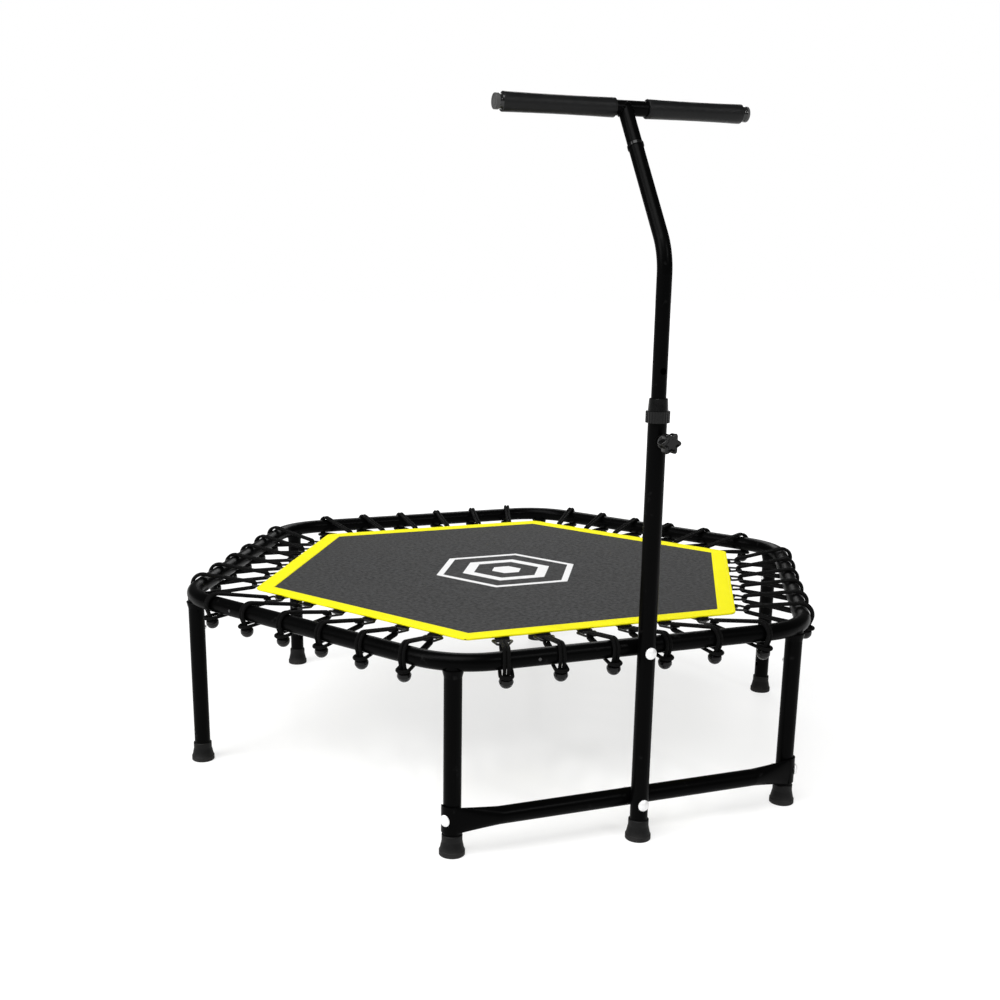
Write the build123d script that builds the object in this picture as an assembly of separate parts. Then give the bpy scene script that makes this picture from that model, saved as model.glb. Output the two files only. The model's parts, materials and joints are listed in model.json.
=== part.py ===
from build123d import *
import os
from math import acos, asin, atan2, cos, degrees, hypot, radians, sin, sqrt, tan

# Six-sided mini trampoline with a push-up T handle, in millimetres.
# The mat is a hexagon hung inside a hexagonal tube rim by elastic cord loops that hook on balls.
# +Z is up, the floor is z = 0, the handle stands at the front (-Y) and +X is the jumper's right.
# The model is drawn round the centre of the hexagon. SHIFT_Y then moves all of it, so that the
# origin is at the centre of its bounding box on the floor.

# ---- driving dimensions -------------------------------------------------------------------------
RIM_APOTHEM = 532.6      # hexagon centre to the middle of a rim tube
RIM_Z = 310.0            # height of the rim tube's middle
TUBE_R = 14.0            # rim, legs, crossbar and handle post: 28 mm tube
TUBE_WALL = 1.5
BEND_R = 123.0           # bend of the rim at each corner, on the tube's middle
JOINT_OFFSET = 180.0     # rim joint, from the middle of a side towards its first corner
SPIGOT_LENGTH = 45.0     # how far a swaged tube end reaches into the next tube
FIT_GAP = 0.1            # radial clearance of a plugged tube
SHOULDER = 8.0           # length of the swage inside its own tube

SOCKET_BOTTOM = 224.0    # lower end of the stub under each corner, where the leg plugs in
WELD_FLARE = 3.0         # how far the weld stands out round a stub
BUTTON_Z = 250.0         # spring button that locks a leg in its stub
BUTTON_R = 3.5
BUTTON_PROUD = 2.5
BUTTON_TRAVEL = 3.0
LEAF_WIDTH, LEAF_THICK, LEAF_DROP, LEAF_RISE = 8.0, 1.0, 32.0, 10.0

FOOT_R, FOOT_NECK_R, FOOT_HEIGHT, FOOT_SOLE = 20.3, 16.2, 34.0, 6.0
FOOT_RIM, FOOT_FLARE = 9.0, 23.0      # heights between which the foot flares
FOOT_EDGE = 1.0

CROSSBAR_Z = 61.0        # crossbar between the two front legs
PLATE_THICK = 3.0        # flattened end of the crossbar
PLATE_HEIGHT = 44.0
PLATE_GAP = 0.15         # flattened end to the leg that it wraps
FLATTEN_LENGTH = 72.0    # from round tube to flat plate
LEG_BOLT_TURN = 60.0     # leg bolt, turned outwards from straight ahead

BOLT_R, BOLT_HOLE_R = 4.0, 4.2
HEAD_R, HEAD_HEIGHT, HEAD_RIM, BOLT_END = 9.2, 5.4, 1.4, 2.0
NUT_R, NUT_HEIGHT = 7.5, 7.0
SEAT_GAP = 0.05          # flat underside of a head or nut, from the round tube that it sits on
SCREW_R, SCREW_HEAD_R, SCREW_HEAD_HEIGHT, SCREW_LENGTH = 1.8, 2.5, 1.2, 9.0
SCREW_PAST_JOINT = 9.0

POST_TOP = 675.0         # top of the lower handle tube
KNOB_Z = 632.0
BOSS_R, BOSS_REACH = 8.0, 22.0        # reaches are measured from the post's axis
KNOB_SCREW_R, KNOB_CLEARANCE = 4.0, 0.05
WASHER_R, WASHER_THICK = 10.5, 1.6
KNOB_NECK_R, KNOB_NECK_END = 8.5, 30.5
KNOB_THICK, KNOB_LOBES, KNOB_LOBE_R, KNOB_LOBE_AT, KNOB_CORE_R = 15.0, 6, 4.9, 11.7, 12.6
SCREW_TIP_GAP = 0.3

COLLAR_HEIGHT, COLLAR_R, COLLAR_RIB_R, COLLAR_RIBS = 17.0, 16.9, 0.9, 24
COLLAR_GAP = 0.3
BUSH_TOP = 693.0         # tapered guide that the sliding tube comes out of
BUSH_BASE_R, BUSH_TOP_R, BUSH_DEPTH = 15.0, 13.75, 35.0

UPPER_R, UPPER_WALL = 11.0, 1.2       # sliding tube of the handle
SLIDE_GAP = 0.07
UPPER_BOTTOM = 480.0
BEND_Z, UPPER_BEND_R = 896.0, 95.0    # where the sliding tube leans back over the mat
LEAN_BACK, BAR_Z = 140.6, 1102.0      # T-bar: behind the post's axis, and above the floor
SETTING_PITCH, SETTINGS_EACH_WAY = 50.0, 2
SETTING_HOLE_R = 4.8
TUBE_BUSH_LENGTH = 20.0
BAR_HALF, BAR_WALL = 195.0, 1.4
STUB_LENGTH, RING_WIDTH, RING_R = 66.0, 4.5, 12.2
GRIP_R, GRIP_GAP = 14.0, 0.05
GRIP_INNER_ENDS = {-1: 18.0, 1: 35.0}  # pushed on by hand, so one is further in than the other
PLUG_R, PLUG_PROUD, PLUG_DEPTH = 12.5, 12.0, 22.0

MAT_R = 489.0            # corner of the mat's border, from its centre
MAT_TOP = 314.3          # top of the mat and of its border
BORDER_WIDTH, BORDER_THICK = 34.0, 4.0
MAT_THICK, MAT_INSET = 2.0, 2.0
MAT_STEP = 4.0           # where the mat steps up inside the border, so that its top is flush

CORD_R = 2.9             # elastic cord
CORD_GAP = 0.3           # cord to whatever it passes
STRAND_HALF = 3.1        # the two strands lie this far each side of the loop's middle
RIM_PLACES = (44.0, 132.0, 220.0)     # cord loops each side of a side's middle, at the rim
MAT_PLACES = (38.0, 115.0, 190.0)     # and at the mat
HANG_ANGLE = 20.0        # strands leave the rim this far below its outer side
BALL_R = 11.0
STRAND_IN_BALL = 8.0
NECK_STRAIGHT = 12.0     # straight length of the loop before it goes round the strands
LOOP_BLEND_R = 60.0

RING_WIRE_R = 2.0        # metal ring between webbing and cord
RING_BASE_HALF, RING_TIP_HALF, RING_LENGTH, RING_CORNER_R = 16.5, 8.8, 22.0, 3.0
RING_PAST_EDGE = 23.5    # ring's outer wire, from the border's edge
WEB_THICK, WEB_SIDE_GAP, WEB_GAP, WEB_REACH = 1.6, 4.7, 0.2, 28.0

# ---- places that follow from them ---------------------------------------------------------------
CORNERS = {"left": 180, "front_left": 240, "front_right": 300, "right": 0, "back_right": 60,
           "back_left": 120}
SIDES = {"front": 270, "front_right": 330, "back_right": 30, "back": 90, "back_left": 150,
         "front_left": 210}
BORE_R = TUBE_R - TUBE_WALL
SPIGOT_R = BORE_R - FIT_GAP
SPIGOT_BORE_R = SPIGOT_R - TUBE_WALL
RIM_CORNER = RIM_APOTHEM / cos(radians(30))
LEG_AT = RIM_CORNER - BEND_R * (1 / cos(radians(30)) - 1)
LEG_X, LEG_Y = LEG_AT * cos(radians(60)), -LEG_AT * sin(radians(60))
POST_Y = -(RIM_APOTHEM + 2 * TUBE_R)
CROSSBAR_Y = -RIM_APOTHEM
PLATE_R = TUBE_R + PLATE_GAP
KNOB_FACE = KNOB_NECK_END + KNOB_THICK
BORDER_BOTTOM = MAT_TOP - BORDER_THICK
MAT_BOTTOM = BORDER_BOTTOM + (BORDER_THICK - MAT_THICK) / 2
MAT_APOTHEM = MAT_R * cos(radians(30))
RING_TIP = MAT_APOTHEM + RING_PAST_EDGE
RING_Z = BORDER_BOTTOM - RING_WIRE_R - WEB_GAP - WEB_THICK
LOOP_R = STRAND_HALF + 2 * CORD_R + CORD_GAP
LEAN = atan2(LEAN_BACK, BAR_Z - BEND_Z)
WEB_HALF = RING_BASE_HALF - WEB_SIDE_GAP


# ---- helpers ------------------------------------------------------------------------------------
def save(name, shape):
    """Moves a finished node into the part's frame and writes it."""
    placed = Pos(0, SHIFT_Y, 0) * shape
    export_step(placed, f"parts/{name}.step")
    print(name, round(placed.volume))


def rod(radius, start, end):
    """A solid round bar between two points."""
    axis = Vector(*end) - Vector(*start)
    return extrude(Plane(origin=start, z_dir=axis) * Circle(radius), axis.length)


def pipe(radius, wall, start, end):
    """A straight round tube between two points."""
    axis = Vector(*end) - Vector(*start)
    section = Circle(radius) - Circle(radius - wall)
    return extrude(Plane(origin=start, z_dir=axis) * section, axis.length)


def swept(path, section):
    """A section carried along a path."""
    return sweep(Plane(origin=path @ 0, z_dir=path % 0) * section, path=path)


def turned(angle, shape):
    """A shape turned about the hexagon's centre."""
    return Rot(0, 0, angle) * shape


def group(shapes):
    """Several solids of one node."""
    return Compound(children=[solid for shape in shapes for solid in shape.solids()])


def lathe(points):
    """A solid of revolution about Z, from its half profile in the XZ plane."""
    return revolve(Plane.XZ * make_face(Polyline(*points, close=True)), Axis.Z)


# ---- rim ----------------------------------------------------------------------------------------
def rim_path():
    """Middle line of one rim section, round the corner that lies on +X."""
    before, after = radians(-30), radians(30)
    start = (RIM_APOTHEM * cos(before) + JOINT_OFFSET * sin(before),
             RIM_APOTHEM * sin(before) - JOINT_OFFSET * cos(before), RIM_Z)
    end = (RIM_APOTHEM * cos(after) + JOINT_OFFSET * sin(after),
           RIM_APOTHEM * sin(after) - JOINT_OFFSET * cos(after), RIM_Z)
    return FilletPolyline(start, (RIM_CORNER, 0, RIM_Z), end, radius=BEND_R)


def screw_hole(side_angle):
    """Hole for the screw that locks a rim joint, on the outer side of the rim."""
    place = -JOINT_OFFSET + SCREW_PAST_JOINT
    inner, outer = RIM_APOTHEM, RIM_APOTHEM + TUBE_R + 1
    return turned(side_angle, rod(SCREW_R, (inner, place, RIM_Z), (outer, place, RIM_Z)))


def rim_section():
    """Bent tube with a swaged end and the leg's stub welded under the corner."""
    path = rim_path()
    tube = swept(path, Circle(TUBE_R) - Circle(BORE_R))
    end, heading = path @ 1, path % 1
    swage = pipe(BORE_R + TUBE_WALL / 2, BORE_R + TUBE_WALL / 2 - SPIGOT_BORE_R,
                 tuple(end - heading * SHOULDER), tuple(end))
    spigot = pipe(SPIGOT_R, TUBE_WALL, tuple(end - heading), tuple(end + heading * SPIGOT_LENGTH))
    stub = pipe(TUBE_R, TUBE_WALL, (LEG_AT, 0, SOCKET_BOTTOM), (LEG_AT, 0, RIM_Z))
    flare_bottom = RIM_Z - TUBE_R - 3 * WELD_FLARE
    weld = Pos(LEG_AT, 0, 0) * lathe([(BORE_R, flare_bottom), (TUBE_R, flare_bottom),
                                      (TUBE_R + WELD_FLARE, RIM_Z - TUBE_R + WELD_FLARE),
                                      (BORE_R, RIM_Z - TUBE_R + WELD_FLARE)])
    inside = swept(path, Circle(TUBE_R - TUBE_WALL / 2))
    welded = tube + (stub + weld - inside)
    hole = rod(BUTTON_R + FIT_GAP, (LEG_AT - TUBE_R - 1, 0, BUTTON_Z), (LEG_AT, 0, BUTTON_Z))
    return welded + swage + spigot - hole - screw_hole(-30) - screw_hole(30)


def rim_screw():
    """Pan-head screw in a rim joint, for the side whose middle lies on +X."""
    place, seat = -JOINT_OFFSET + SCREW_PAST_JOINT, RIM_APOTHEM + TUBE_R + SEAT_GAP
    head = lathe([(0, 0), (SCREW_HEAD_R, 0), (SCREW_HEAD_R, SCREW_HEAD_HEIGHT / 2),
                  (SCREW_HEAD_R / 2, SCREW_HEAD_HEIGHT), (0, SCREW_HEAD_HEIGHT)])
    shank = rod(SCREW_R - KNOB_CLEARANCE, (0, 0, -SCREW_LENGTH), (0, 0, 0))
    return Pos(seat, place, RIM_Z) * Rot(0, 90, 0) * (head + shank)


# ---- legs and feet ------------------------------------------------------------------------------
def leg(bolt_angle):
    """Straight leg whose swaged top plugs into the stub; bolt_angle turns its crossbar hole."""
    tube = pipe(TUBE_R, TUBE_WALL, (0, 0, FOOT_SOLE), (0, 0, SOCKET_BOTTOM))
    swage = pipe(BORE_R + TUBE_WALL / 2, BORE_R + TUBE_WALL / 2 - SPIGOT_BORE_R,
                 (0, 0, SOCKET_BOTTOM - SHOULDER), (0, 0, SOCKET_BOTTOM))
    spigot = pipe(SPIGOT_R, TUBE_WALL, (0, 0, SOCKET_BOTTOM - 1), (0, 0, SOCKET_BOTTOM + SPIGOT_LENGTH))
    button = rod(BUTTON_R + FIT_GAP, (-TUBE_R, 0, BUTTON_Z), (0, 0, BUTTON_Z))
    bolt = rod(BOLT_HOLE_R, (-2 * TUBE_R, 0, CROSSBAR_Z), (2 * TUBE_R, 0, CROSSBAR_Z))
    return Pos(LEG_AT, 0, 0) * (tube + swage + spigot - button - turned(bolt_angle, bolt))


def foot():
    """Rubber foot with a flared base, pushed over a tube's lower end."""
    bore = TUBE_R + FIT_GAP / 2
    return lathe([(0, 0), (FOOT_R - FOOT_EDGE, 0), (FOOT_R, FOOT_EDGE), (FOOT_R, FOOT_RIM - FOOT_EDGE),
                  (FOOT_R - FOOT_EDGE, FOOT_RIM), (FOOT_NECK_R, FOOT_FLARE),
                  (FOOT_NECK_R, FOOT_HEIGHT - FOOT_EDGE), (FOOT_NECK_R - FOOT_EDGE, FOOT_HEIGHT),
                  (bore, FOOT_HEIGHT), (bore, FOOT_SOLE), (0, FOOT_SOLE)])


def lock_button():
    """Button on its leaf spring, facing the middle of the trampoline."""
    leaf_face = SPIGOT_BORE_R - 0.9
    tip = TUBE_R + BUTTON_PROUD
    pin = rod(BUTTON_R, (-tip, 0, BUTTON_Z), (-leaf_face + LEAF_THICK / 2, 0, BUTTON_Z))
    leaf = Pos(-leaf_face + LEAF_THICK / 2, 0, BUTTON_Z + (LEAF_RISE - LEAF_DROP) / 2) * Box(
        LEAF_THICK, LEAF_WIDTH, LEAF_DROP + LEAF_RISE)
    rounded = fillet(pin.edges().sort_by(Axis.X)[0], 1.2)
    return Pos(LEG_AT, 0, 0) * (rounded + leaf)


# ---- crossbar -----------------------------------------------------------------------------------
def crossbar_end():
    """Right-hand flattened end: round tube, taper, and the plate that wraps the leg."""
    plate_y = LEG_Y - PLATE_R - PLATE_THICK / 2
    start = LEG_X - FLATTEN_LENGTH
    round_end = Plane(origin=(start, CROSSBAR_Y, CROSSBAR_Z), x_dir=(0, 1, 0), z_dir=(1, 0, 0))
    flat_end = Plane(origin=(LEG_X, plate_y, CROSSBAR_Z), x_dir=(0, 1, 0), z_dir=(1, 0, 0))
    taper = loft([round_end * Circle(TUBE_R), flat_end * Ellipse(PLATE_THICK / 2, PLATE_HEIGHT / 2)])
    ring = Cylinder(PLATE_R + PLATE_THICK, PLATE_HEIGHT) - Cylinder(PLATE_R, 2 * PLATE_HEIGHT)
    reach = 4 * TUBE_R
    last = radians(-90 + LEG_BOLT_TURN + 45)
    wedge = make_face(Polyline((0, 0), (0, -reach), (reach, -reach),
                               (reach * cos(last), reach * sin(last)), close=True))
    wrap = ring & extrude(wedge, PLATE_HEIGHT, both=True)
    leg_space = Cylinder(PLATE_R, 4 * PLATE_HEIGHT)
    return taper + Pos(LEG_X, LEG_Y, CROSSBAR_Z) * wrap - Pos(LEG_X, LEG_Y, CROSSBAR_Z) * leg_space


def leg_bolt_line(side):
    """Middle of a front leg and the outward direction of its crossbar bolt."""
    angle = radians(-90 + side * LEG_BOLT_TURN)
    return Vector(side * LEG_X, LEG_Y, CROSSBAR_Z), Vector(cos(angle), sin(angle), 0)


def crossbar():
    """Tube between the front legs, behind the handle post."""
    middle = LEG_X - FLATTEN_LENGTH
    tube = pipe(TUBE_R, TUBE_WALL, (-middle, CROSSBAR_Y, CROSSBAR_Z), (middle, CROSSBAR_Y, CROSSBAR_Z))
    end = crossbar_end()
    bar = tube + end + mirror(end, Plane.YZ)
    for side in (-1, 1):
        middle_of_leg, outward = leg_bolt_line(side)
        bar -= rod(BOLT_HOLE_R, tuple(middle_of_leg), tuple(middle_of_leg + outward * 3 * TUBE_R))
    return bar - rod(BOLT_HOLE_R, (0, CROSSBAR_Y - 2 * TUBE_R, CROSSBAR_Z),
                     (0, CROSSBAR_Y + 2 * TUBE_R, CROSSBAR_Z))


# ---- bolts and nuts -----------------------------------------------------------------------------
def bolt_places():
    """Seat of each bolt's head, its outward direction, and the distance on to its nut."""
    places = []
    for side in (-1, 1):
        middle_of_leg, outward = leg_bolt_line(side)
        seat = middle_of_leg + outward * (PLATE_R + PLATE_THICK)
        places.append((seat, outward, PLATE_R + PLATE_THICK + TUBE_R))
    for height in (CROSSBAR_Z, RIM_Z):
        places.append((Vector(0, POST_Y - TUBE_R, height), Vector(0, -1, 0), 4 * TUBE_R))
    return places


def bolt(seat, outward, grip):
    """Domed bolt; grip is the thickness that it holds."""
    dome_height = HEAD_HEIGHT - HEAD_RIM
    sphere_r = (HEAD_R ** 2 + dome_height ** 2) / (2 * dome_height)
    dome = Pos(0, 0, HEAD_HEIGHT - sphere_r) * Sphere(sphere_r)
    head = rod(HEAD_R, (0, 0, 0), (0, 0, HEAD_RIM))
    head += dome & rod(HEAD_R, (0, 0, HEAD_RIM), (0, 0, HEAD_HEIGHT))
    shank = rod(BOLT_R, (0, 0, -grip - NUT_HEIGHT - BOLT_END), (0, 0, HEAD_RIM))
    return Plane(origin=seat, z_dir=outward) * Pos(0, 0, SEAT_GAP) * (head + shank)


def nut(seat, outward, grip):
    """Hexagon nut at the far end of a bolt."""
    body = extrude(RegularPolygon(NUT_R, 6) - Circle(BOLT_R + KNOB_CLEARANCE), NUT_HEIGHT)
    return Plane(origin=seat, z_dir=outward) * Pos(0, 0, -grip - NUT_HEIGHT - SEAT_GAP) * body


# ---- handle post, knob and collar ---------------------------------------------------------------
def ahead(reach, height):
    """A point straight ahead of the post's axis."""
    return (0, POST_Y - reach, height)


def handle_post():
    """Lower handle tube with its two bolt holes and the knob's threaded boss welded on."""
    tube = pipe(TUBE_R, TUBE_WALL, (0, POST_Y, FOOT_SOLE), (0, POST_Y, POST_TOP))
    for height in (CROSSBAR_Z, RIM_Z):
        tube -= rod(BOLT_HOLE_R, ahead(2 * TUBE_R, height), ahead(-2 * TUBE_R, height))
    boss = rod(BOSS_R, ahead(BORE_R + TUBE_WALL / 2, KNOB_Z), ahead(BOSS_REACH, KNOB_Z))
    bore = rod(KNOB_SCREW_R + KNOB_CLEARANCE, ahead(0, KNOB_Z), ahead(BOSS_REACH + 1, KNOB_Z))
    inside = rod(BORE_R, (0, POST_Y, KNOB_Z - 2 * BOSS_R), (0, POST_Y, KNOB_Z + 2 * BOSS_R))
    return tube + (boss - inside) - bore


def knob():
    """Star knob, with a neck that presses on the washer."""
    star = Circle(KNOB_CORE_R) + [loc * Circle(KNOB_LOBE_R)
                                  for loc in PolarLocations(KNOB_LOBE_AT, KNOB_LOBES)]
    outer = KNOB_LOBE_AT + KNOB_LOBE_R
    crown = lathe([(0, 0), (outer - 2, 0), (outer, 2.5), (outer, KNOB_THICK - 4),
                   (outer - 1.2, KNOB_THICK - 1.6), (outer - 4, KNOB_THICK), (0, KNOB_THICK)])
    neck_length = KNOB_NECK_END - BOSS_REACH - WASHER_THICK - 2 * KNOB_CLEARANCE
    neck = rod(KNOB_NECK_R, (0, 0, -neck_length), (0, 0, 0))
    socket = rod(KNOB_SCREW_R, (0, 0, -neck_length), (0, 0, KNOB_THICK - 5))
    body = (extrude(star, KNOB_THICK) & crown) + neck - socket
    return Plane(origin=ahead(KNOB_NECK_END, KNOB_Z), z_dir=(0, -1, 0)) * body


def collar_ring():
    """Ribbed ring that twists on the top of the post."""
    ring = Circle(COLLAR_R) + [loc * Circle(COLLAR_RIB_R)
                               for loc in PolarLocations(COLLAR_R, COLLAR_RIBS)]
    body = extrude(ring - Circle(TUBE_R + FIT_GAP), COLLAR_HEIGHT - COLLAR_GAP)
    return Pos(0, POST_Y, POST_TOP - COLLAR_HEIGHT) * body


def guide_bush():
    """Tapered guide in the post's mouth, with the skirt that goes down inside the post."""
    bore = UPPER_R + SLIDE_GAP
    return Pos(0, POST_Y, 0) * lathe([
        (bore, POST_TOP - BUSH_DEPTH), (BORE_R - FIT_GAP / 2, POST_TOP - BUSH_DEPTH),
        (BORE_R - FIT_GAP / 2, POST_TOP), (BUSH_BASE_R, POST_TOP),
        (BUSH_TOP_R, BUSH_TOP - 1), (BUSH_TOP_R - 1, BUSH_TOP), (bore, BUSH_TOP)])


# ---- sliding handle -----------------------------------------------------------------------------
def up_handle(distance):
    """A point on the leaning part of the handle, this far below the T-bar."""
    return (0, POST_Y + LEAN_BACK - distance * sin(LEAN), BAR_Z - distance * cos(LEAN))


def handle_tube():
    """Sliding tube: straight with setting holes, then bent back over the mat."""
    path = FilletPolyline((0, POST_Y, UPPER_BOTTOM), (0, POST_Y, BEND_Z),
                          up_handle(STUB_LENGTH + RING_WIDTH), radius=UPPER_BEND_R)
    tube = swept(path, Circle(UPPER_R) - Circle(UPPER_R - UPPER_WALL))
    for step in range(-SETTINGS_EACH_WAY, SETTINGS_EACH_WAY + 1):
        height = KNOB_Z + step * SETTING_PITCH
        tube -= rod(SETTING_HOLE_R, ahead(0, height), ahead(2 * UPPER_R, height))
    return tube


def tube_bush():
    """Plastic sleeve at the sliding tube's lower end, which centres it in the post."""
    outer = BORE_R - SLIDE_GAP
    bottom = UPPER_BOTTOM
    return pipe(outer, outer - UPPER_R, (0, POST_Y, bottom), (0, POST_Y, bottom + TUBE_BUSH_LENGTH))


def handle_bar():
    """T-bar with its welded stub, whose swaged end plugs into the sliding tube."""
    bore = UPPER_R - BAR_WALL
    outside = rod(UPPER_R, (-BAR_HALF, *up_handle(0)[1:]), (BAR_HALF, *up_handle(0)[1:]))
    stub = rod(UPPER_R, up_handle(0), up_handle(STUB_LENGTH))
    plug_r = UPPER_R - UPPER_WALL - FIT_GAP
    plug = rod(plug_r, up_handle(STUB_LENGTH - 1), up_handle(STUB_LENGTH + SPIGOT_LENGTH))
    inside = rod(bore, (-BAR_HALF, *up_handle(0)[1:]), (BAR_HALF, *up_handle(0)[1:]))
    stub_inside = rod(plug_r - BAR_WALL, up_handle(0), up_handle(STUB_LENGTH + SPIGOT_LENGTH))
    return outside + stub + plug - inside - stub_inside


def joint_ring():
    """Plastic ring between the stub and the sliding tube."""
    return pipe(RING_R, RING_R - (UPPER_R - UPPER_WALL), up_handle(STUB_LENGTH),
                up_handle(STUB_LENGTH + RING_WIDTH))


def grip(side):
    """Foam grip on one half of the T-bar."""
    y, z = up_handle(0)[1:]
    bore = UPPER_R + GRIP_GAP
    return pipe(GRIP_R, GRIP_R - bore, (side * GRIP_INNER_ENDS[side], y, z), (side * BAR_HALF, y, z))


def end_plug(side):
    """Plug in the end of the T-bar."""
    y, z = up_handle(0)[1:]
    body = lathe([(0, 0), (PLUG_R, 0), (PLUG_R, PLUG_PROUD - 3), (PLUG_R - 2, PLUG_PROUD),
                  (0, PLUG_PROUD)])
    shank = rod(UPPER_R - BAR_WALL - FIT_GAP / 2, (0, 0, -PLUG_DEPTH), (0, 0, 0))
    return Pos(side * BAR_HALF, y, z) * Rot(0, side * 90, 0) * (body + shank)


# ---- mat ----------------------------------------------------------------------------------------
def hexagon(apothem):
    """Flat hexagon with its corners in line with the rim's."""
    return RegularPolygon(apothem / cos(radians(30)), 6)


def mat():
    """Jumping mat: a slab flush with the border's top, with a lower rim held in the border."""
    opening = MAT_APOTHEM - BORDER_WIDTH
    held = extrude(hexagon(MAT_APOTHEM - MAT_INSET) - hexagon(opening - MAT_STEP), MAT_THICK)
    middle = extrude(hexagon(opening), MAT_THICK)
    return Pos(0, 0, MAT_BOTTOM) * held + Pos(0, 0, MAT_TOP - MAT_THICK) * middle


def mat_border():
    """Band folded over the mat's edge and sewn to it."""
    band = extrude(hexagon(MAT_APOTHEM) - hexagon(MAT_APOTHEM - BORDER_WIDTH), BORDER_THICK)
    return Pos(0, 0, BORDER_BOTTOM) * band - mat()


def cord_place(index, sign):
    """Where a loop leaves the ring, and the turn of its line from the side's normal."""
    ring_s, rim_s = sign * MAT_PLACES[index], sign * RIM_PLACES[index]
    away = atan2(rim_s - ring_s, RIM_APOTHEM - RING_TIP)
    return Pos(RING_TIP, ring_s, 0) * Rot(0, 0, degrees(away)), away


def metal_ring():
    """Wire ring: its wide side in the webbing, its narrow side, at x = 0, in the cord."""
    path = FilletPolyline((-RING_LENGTH, -RING_BASE_HALF, RING_Z), (0, -RING_TIP_HALF, RING_Z),
                          (0, RING_TIP_HALF, RING_Z), (-RING_LENGTH, RING_BASE_HALF, RING_Z),
                          radius=RING_CORNER_R, close=True)
    return swept(path, Circle(RING_WIRE_R))


def webbing_tab():
    """Webbing folded round the ring's wide side and sewn under the border."""
    outer = RING_WIRE_R + WEB_GAP + WEB_THICK
    layers = 2 * WEB_THICK
    strap = Pos(-WEB_REACH / 2, outer - layers / 2) * Rectangle(WEB_REACH, layers)
    profile = strap + Circle(outer) - Circle(RING_WIRE_R + WEB_GAP)
    tab = extrude(Plane.XZ * profile, WEB_HALF, both=True)
    return Pos(-RING_LENGTH, 0, RING_Z) * tab


# ---- elastic cords ------------------------------------------------------------------------------
class CordLine:
    """Side view of one cord loop: u runs outwards from the rim's middle, z up from it."""

    def __init__(self, away):
        self.wrap_r = ((TUBE_R + CORD_GAP + CORD_R) / cos(away)
                       + (STRAND_HALF + CORD_R) * tan(abs(away)) / 2)
        self.turn_r = RING_WIRE_R + CORD_GAP + CORD_R
        self.ring = (-(RIM_APOTHEM - RING_TIP) / cos(away), RING_Z - RIM_Z)
        distance = hypot(*self.ring)
        heading = atan2(self.ring[1], self.ring[0])
        spread = acos((self.wrap_r - self.turn_r) / distance)
        self.up = (cos(heading - spread), sin(heading - spread))
        self.low = (cos(heading + spread), sin(heading + spread))
        hang = radians(HANG_ANGLE)
        self.off_rim = (self.wrap_r * cos(hang), -self.wrap_r * sin(hang))
        self.down = (-sin(hang), -cos(hang))
        self.under = (-self.low[1], self.low[0])
        self.neck = self._neck()
        tilt = acos(-(self.down[0] * self.low[0] + self.down[1] * self.low[1]))
        tilt = min(tilt, radians(180) - tilt)
        reach = sqrt((BALL_R + CORD_R + CORD_GAP) ** 2 - (LOOP_R * cos(tilt)) ** 2)
        self.ball = self.along(self.neck, self.down, reach + LOOP_R * sin(tilt))

    def along(self, point, direction, distance):
        """A point further along a line."""
        return (point[0] + direction[0] * distance, point[1] + direction[1] * distance)

    def _neck(self):
        """Where the run under the rim meets the strands that hang off it."""
        start = self.along((0, 0), self.low, self.wrap_r)
        gap = (self.off_rim[0] - start[0], self.off_rim[1] - start[1])
        cross = self.under[0] * self.down[1] - self.under[1] * self.down[0]
        distance = (gap[0] * self.down[1] - gap[1] * self.down[0]) / cross
        return self.along(start, self.under, distance)

    def at_ring(self, direction):
        """Point on the turn round the ring's wire."""
        return self.along(self.ring, direction, self.turn_r)


def cord_half(line, lateral):
    """One strand: up from the ball, over the rim, round the ring, and out to the loop."""
    def place(point):
        return (point[0], lateral, point[1])

    inside = line.along(line.ball, line.down, STRAND_IN_BALL - BALL_R)
    over, top = (0, line.wrap_r), line.along((0, 0), line.up, line.wrap_r)
    ring_side = (line.ring[0] - line.turn_r, line.ring[1])
    last = line.at_ring(line.low)
    hanging = Line(place(inside), place(line.off_rim))
    wrap = ThreePointArc(place(line.off_rim), place((line.wrap_r * cos(0.6), line.wrap_r * sin(0.6))),
                         place(top))
    run = Line(place(top), place(line.at_ring(line.up)))
    turn = ThreePointArc(place(line.at_ring(line.up)), place(ring_side), place(last))
    length = hypot(line.neck[0] - last[0], line.neck[1] - last[1])
    plane = Plane(origin=(last[0], 0, last[1]), x_dir=(line.under[0], 0, line.under[1]),
                  z_dir=(line.low[0], 0, line.low[1]))
    side = 1 if plane.from_local_coords((0, 1, 0)).Y * lateral > 0 else -1
    spread = FilletPolyline((0, side * STRAND_HALF), (length * 0.3, side * STRAND_HALF),
                            (length - NECK_STRAIGHT, side * LOOP_R), (length, side * LOOP_R),
                            radius=LOOP_BLEND_R)
    return [hanging, wrap, run, turn] + list((plane * spread).edges()), plane, length, side


def cord(away):
    """One elastic loop, both strands and the bight that goes round them above the ball."""
    line = CordLine(away)
    first, plane, length, side = cord_half(line, STRAND_HALF)
    second = cord_half(line, -STRAND_HALF)[0]
    bight = plane * ThreePointArc((length, side * LOOP_R), (length + LOOP_R, 0),
                                  (length, -side * LOOP_R))
    path = Wire([*first, *bight.edges(), *second])
    return swept(path, Circle(CORD_R)), line


def cord_ball(line):
    """Ball on the two strand ends."""
    slot = SlotCenterToCenter(2 * STRAND_HALF, 2 * (CORD_R + KNOB_CLEARANCE))
    top = Plane(origin=(line.ball[0], 0, line.ball[1]), x_dir=(0, 1, 0),
                z_dir=(-line.down[0], 0, -line.down[1]))
    pocket = extrude(top * Pos(0, 0, BALL_R - STRAND_IN_BALL) * slot, BALL_R)
    return Pos(line.ball[0], 0, line.ball[1]) * Sphere(BALL_R) - pocket


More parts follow.
